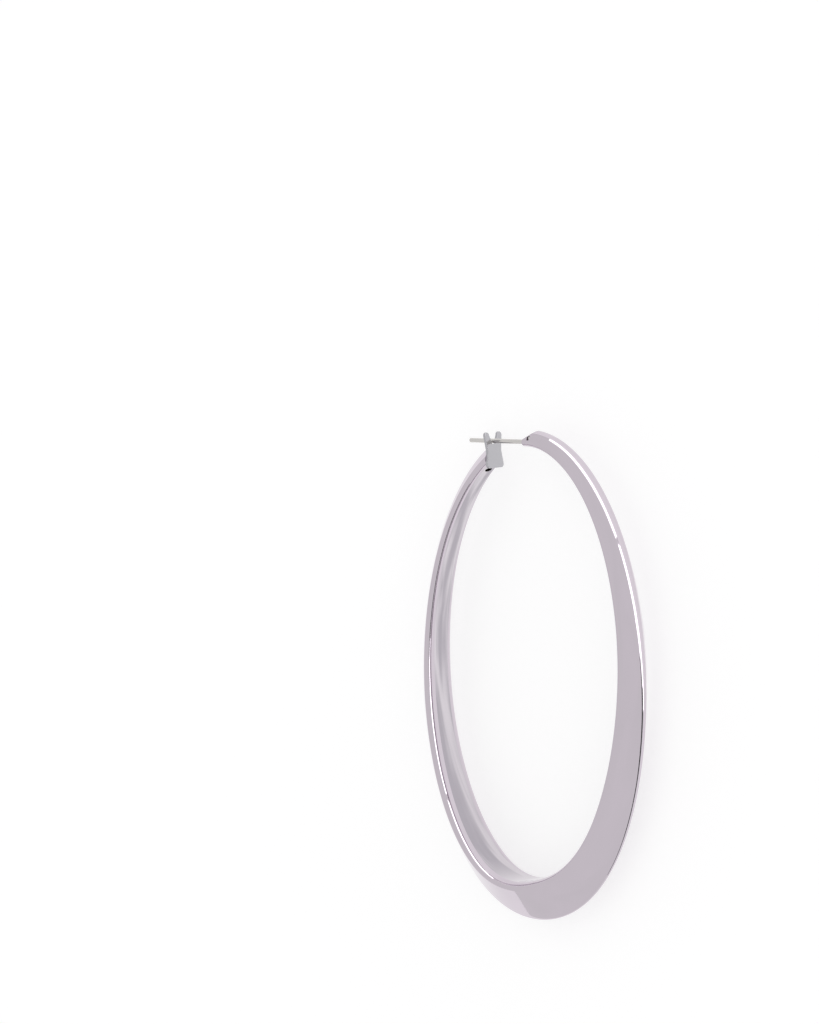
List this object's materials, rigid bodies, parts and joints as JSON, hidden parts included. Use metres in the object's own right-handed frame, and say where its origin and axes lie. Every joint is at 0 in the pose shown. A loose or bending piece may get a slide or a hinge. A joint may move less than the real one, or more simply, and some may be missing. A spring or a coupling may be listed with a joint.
{
  "type": "hoop earring",
  "caption": "Oval tapered hollow hoop earring with a hinged ear post that snaps between the ears of a soldered catch.",
  "frame": {"origin": "centre of the bounding box, at its underside: the hoop lies on its side", "axes": "+Y towards the clasp, +X towards the front leg, +Z across the hoop, up from the surface it lies on"},
  "size_m": [0.0452, 0.0799, 0.0089],
  "materials": {
    "polished_silver": "mirror polished silver-tone plating",
    "wire_silver": "drawn wire, polished, a little warmer and duller than the hoop"
  },
  "bodies": {
    "frame": {"hoop": "polished_silver", "hinge_pin": "wire_silver"},
    "post": {"ear_post": "wire_silver"}
  },
  "joints": [
    {"name": "post_hinge", "type": "hinge", "parent": "frame", "child": "post", "pos_m": [0.001, 0.0387, 0.00445], "axis": [0, 0, -1], "range_deg": [0, 80]}
  ]
}
